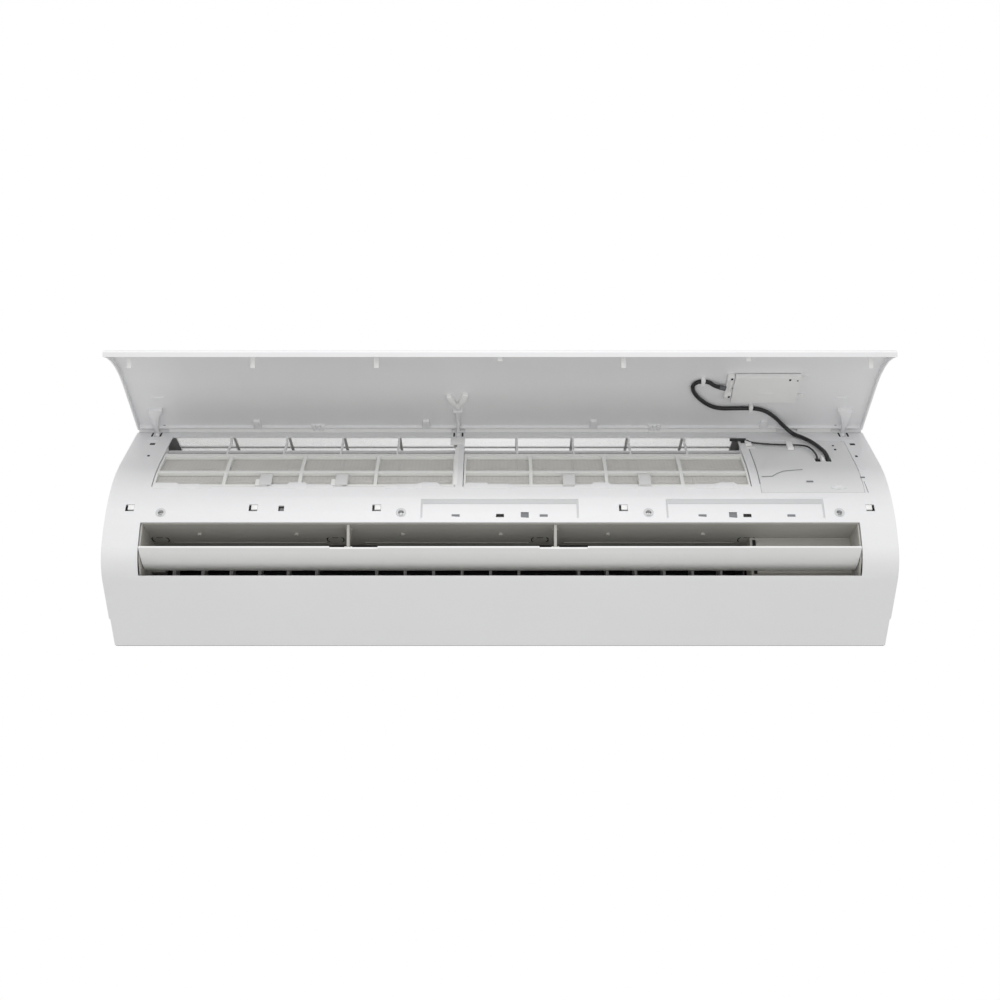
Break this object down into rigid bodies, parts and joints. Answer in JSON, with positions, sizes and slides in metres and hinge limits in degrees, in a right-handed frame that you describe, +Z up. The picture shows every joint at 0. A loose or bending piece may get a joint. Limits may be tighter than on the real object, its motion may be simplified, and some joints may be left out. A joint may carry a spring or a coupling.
{
  "type": "mini split indoor unit",
  "caption": "Wall-mounted indoor unit of a mini split air conditioner, its front panel swung up over the air filters, with a louver and swinging vanes in the outlet below.",
  "frame": {"origin": "middle of the mounting plate's back face, on the wall", "axes": "+X to the right of someone who faces the unit, +Y out of its back towards the wall, +Z up"},
  "size_m": [1.083, 0.3353, 0.3731],
  "materials": {
    "casing": "satin white moulding",
    "cover": "satin white moulding",
    "screw": "zinc plated",
    "panel": "gloss white outside, satin inside",
    "display_box": "satin white moulding",
    "circuit_board": "green solder mask",
    "filter_frame": "satin white moulding",
    "filter_net": "fine grey net",
    "louver": "satin white moulding",
    "duct": "satin grey moulding",
    "duct_bracket": "satin grey moulding",
    "stepper_motor": "plated steel can",
    "vane": "satin grey moulding",
    "vane_link": "satin grey moulding",
    "fan": "dark grey moulding",
    "bearing": "black rubber",
    "fan_motor": "grey resin body",
    "clamp": "white moulding",
    "fins": "bare aluminium fins",
    "end_plate": "galvanised sheet",
    "copper": "drawn copper",
    "nut": "forged brass",
    "chassis": "satin charcoal moulding",
    "mounting_plate": "galvanised sheet",
    "control_box": "galvanised sheet",
    "terminal": "black moulding",
    "lead": "black insulation",
    "sensor": "black resin"
  },
  "bodies": {
    "unit": {"front_casing": "casing", "control_cover": "cover", "casing_screw_1": "screw", "casing_screw_2": "screw", "casing_screw_3": "screw", "casing_screw_4": "screw", "outlet_duct": "duct", "louver_bracket_1": "duct_bracket", "louver_bracket_2": "duct_bracket", "louver_motor": "stepper_motor", "fan_bearing": "bearing", "fan_motor": "fan_motor", "motor_clamp": "clamp", "evaporator_coil": "fins", "coil_end_plate_left": "end_plate", "coil_end_plate_right": "end_plate", "liquid_pipe": "copper", "suction_pipe": "copper", "liquid_flare_nut": "nut", "suction_flare_nut": "nut", "rear_chassis": "chassis", "mounting_plate": "mounting_plate", "control_box": "control_box", "control_board": "circuit_board", "terminal_block": "terminal", "display_lead": "lead", "sensor_lead": "lead", "room_sensor": "sensor"},
    "panel": {"front_panel": "panel", "display_box": "display_box", "display_board": "circuit_board"},
    "louver": {"horizontal_louver": "louver"},
    "left_filter": {"left_filter_frame": "filter_frame", "left_filter_net": "filter_net"},
    "right_filter": {"right_filter_frame": "filter_frame", "right_filter_net": "filter_net"},
    "fan": {"fan_rotor": "fan"},
    "vane_1_1": {"vane_1_1": "vane"},
    "vane_1_2": {"vane_1_2": "vane"},
    "vane_1_3": {"vane_1_3": "vane"},
    "vane_1_4": {"vane_1_4": "vane"},
    "vane_1_5": {"vane_1_5": "vane"},
    "vane_1_6": {"vane_1_6": "vane"},
    "vane_link_1": {"vane_link_1": "vane_link"},
    "vane_2_1": {"vane_2_1": "vane"},
    "vane_2_2": {"vane_2_2": "vane"},
    "vane_2_3": {"vane_2_3": "vane"},
    "vane_2_4": {"vane_2_4": "vane"},
    "vane_2_5": {"vane_2_5": "vane"},
    "vane_2_6": {"vane_2_6": "vane"},
    "vane_link_2": {"vane_link_2": "vane_link"},
    "vane_3_1": {"vane_3_1": "vane"},
    "vane_3_2": {"vane_3_2": "vane"},
    "vane_3_3": {"vane_3_3": "vane"},
    "vane_3_4": {"vane_3_4": "vane"},
    "vane_3_5": {"vane_3_5": "vane"},
    "vane_3_6": {"vane_3_6": "vane"},
    "vane_link_3": {"vane_link_3": "vane_link"}
  },
  "joints": [
    {"name": "panel_hinge", "type": "hinge", "parent": "unit", "child": "panel", "pos_m": [0, -0.093, 0.1635], "axis": [-1, 0, 0], "range_deg": [-56, 6], "deforming": ["display_lead"]},
    {"name": "louver_hinge", "type": "hinge", "parent": "unit", "child": "louver", "pos_m": [0, -0.218, -0.06], "axis": [1, 0, 0], "range_deg": [-73, 15]},
    {"name": "fan_spin", "type": "hinge", "parent": "unit", "child": "fan", "pos_m": [0, -0.098, 0.012], "axis": [1, 0, 0], "continuous": true},
    {"name": "left_filter_pull", "type": "slide", "parent": "unit", "child": "left_filter", "axis": [0, -0.8192, 0.5736], "range_m": [0, 0.08]},
    {"name": "right_filter_pull", "type": "slide", "parent": "unit", "child": "right_filter", "axis": [0, -0.8192, 0.5736], "range_m": [0, 0.08]},
    {"name": "vane_1_1_swing", "type": "hinge", "parent": "unit", "child": "vane_1_1", "pos_m": [-0.455, -0.15, -0.094], "axis": [0, 0, 1], "range_deg": [-25, 25]},
    {"name": "vane_1_2_swing", "type": "hinge", "parent": "unit", "child": "vane_1_2", "pos_m": [-0.4153, -0.15, -0.094], "axis": [0, 0, 1], "range_deg": [-25, 25]},
    {"name": "vane_1_3_swing", "type": "hinge", "parent": "unit", "child": "vane_1_3", "pos_m": [-0.3756, -0.15, -0.094], "axis": [0, 0, 1], "range_deg": [-25, 25]},
    {"name": "vane_1_4_swing", "type": "hinge", "parent": "unit", "child": "vane_1_4", "pos_m": [-0.3359, -0.15, -0.094], "axis": [0, 0, 1], "range_deg": [-25, 25]},
    {"name": "vane_1_5_swing", "type": "hinge", "parent": "unit", "child": "vane_1_5", "pos_m": [-0.2962, -0.15, -0.094], "axis": [0, 0, 1], "range_deg": [-25, 25]},
    {"name": "vane_1_6_swing", "type": "hinge", "parent": "unit", "child": "vane_1_6", "pos_m": [-0.2565, -0.15, -0.094], "axis": [0, 0, 1], "range_deg": [-25, 25]},
    {"name": "vane_link_1_slide", "type": "slide", "parent": "unit", "child": "vane_link_1", "axis": [1, 0, 0], "range_m": [-0.0085, 0.0085]},
    {"name": "vane_2_1_swing", "type": "hinge", "parent": "unit", "child": "vane_2_1", "pos_m": [-0.173, -0.15, -0.094], "axis": [0, 0, 1], "range_deg": [-25, 25]},
    {"name": "vane_2_2_swing", "type": "hinge", "parent": "unit", "child": "vane_2_2", "pos_m": [-0.1333, -0.15, -0.094], "axis": [0, 0, 1], "range_deg": [-25, 25]},
    {"name": "vane_2_3_swing", "type": "hinge", "parent": "unit", "child": "vane_2_3", "pos_m": [-0.0936, -0.15, -0.094], "axis": [0, 0, 1], "range_deg": [-25, 25]},
    {"name": "vane_2_4_swing", "type": "hinge", "parent": "unit", "child": "vane_2_4", "pos_m": [-0.0539, -0.15, -0.094], "axis": [0, 0, 1], "range_deg": [-25, 25]},
    {"name": "vane_2_5_swing", "type": "hinge", "parent": "unit", "child": "vane_2_5", "pos_m": [-0.0142, -0.15, -0.094], "axis": [0, 0, 1], "range_deg": [-25, 25]},
    {"name": "vane_2_6_swing", "type": "hinge", "parent": "unit", "child": "vane_2_6", "pos_m": [0.0255, -0.15, -0.094], "axis": [0, 0, 1], "range_deg": [-25, 25]},
    {"name": "vane_link_2_slide", "type": "slide", "parent": "unit", "child": "vane_link_2", "axis": [1, 0, 0], "range_m": [-0.0085, 0.0085]},
    {"name": "vane_3_1_swing", "type": "hinge", "parent": "unit", "child": "vane_3_1", "pos_m": [0.109, -0.15, -0.094], "axis": [0, 0, 1], "range_deg": [-25, 25]},
    {"name": "vane_3_2_swing", "type": "hinge", "parent": "unit", "child": "vane_3_2", "pos_m": [0.1487, -0.15, -0.094], "axis": [0, 0, 1], "range_deg": [-25, 25]},
    {"name": "vane_3_3_swing", "type": "hinge", "parent": "unit", "child": "vane_3_3", "pos_m": [0.1884, -0.15, -0.094], "axis": [0, 0, 1], "range_deg": [-25, 25]},
    {"name": "vane_3_4_swing", "type": "hinge", "parent": "unit", "child": "vane_3_4", "pos_m": [0.2281, -0.15, -0.094], "axis": [0, 0, 1], "range_deg": [-25, 25]},
    {"name": "vane_3_5_swing", "type": "hinge", "parent": "unit", "child": "vane_3_5", "pos_m": [0.2678, -0.15, -0.094], "axis": [0, 0, 1], "range_deg": [-25, 25]},
    {"name": "vane_3_6_swing", "type": "hinge", "parent": "unit", "child": "vane_3_6", "pos_m": [0.3075, -0.15, -0.094], "axis": [0, 0, 1], "range_deg": [-25, 25]},
    {"name": "vane_link_3_slide", "type": "slide", "parent": "unit", "child": "vane_link_3", "axis": [1, 0, 0], "range_m": [-0.0085, 0.0085]}
  ],
  "couplings": [
    {"joint": "vane_1_2_swing", "follows": "vane_1_1_swing", "ratio": 1},
    {"joint": "vane_1_3_swing", "follows": "vane_1_1_swing", "ratio": 1},
    {"joint": "vane_1_4_swing", "follows": "vane_1_1_swing", "ratio": 1},
    {"joint": "vane_1_5_swing", "follows": "vane_1_1_swing", "ratio": 1},
    {"joint": "vane_1_6_swing", "follows": "vane_1_1_swing", "ratio": 1},
    {"joint": "vane_link_1_slide", "follows": "vane_1_1_swing", "m_per_rad": 0.019},
    {"joint": "vane_2_2_swing", "follows": "vane_2_1_swing", "ratio": 1},
    {"joint": "vane_2_3_swing", "follows": "vane_2_1_swing", "ratio": 1},
    {"joint": "vane_2_4_swing", "follows": "vane_2_1_swing", "ratio": 1},
    {"joint": "vane_2_5_swing", "follows": "vane_2_1_swing", "ratio": 1},
    {"joint": "vane_2_6_swing", "follows": "vane_2_1_swing", "ratio": 1},
    {"joint": "vane_link_2_slide", "follows": "vane_2_1_swing", "m_per_rad": 0.019},
    {"joint": "vane_3_2_swing", "follows": "vane_3_1_swing", "ratio": 1},
    {"joint": "vane_3_3_swing", "follows": "vane_3_1_swing", "ratio": 1},
    {"joint": "vane_3_4_swing", "follows": "vane_3_1_swing", "ratio": 1},
    {"joint": "vane_3_5_swing", "follows": "vane_3_1_swing", "ratio": 1},
    {"joint": "vane_3_6_swing", "follows": "vane_3_1_swing", "ratio": 1},
    {"joint": "vane_link_3_slide", "follows": "vane_3_1_swing", "m_per_rad": 0.019}
  ]
}
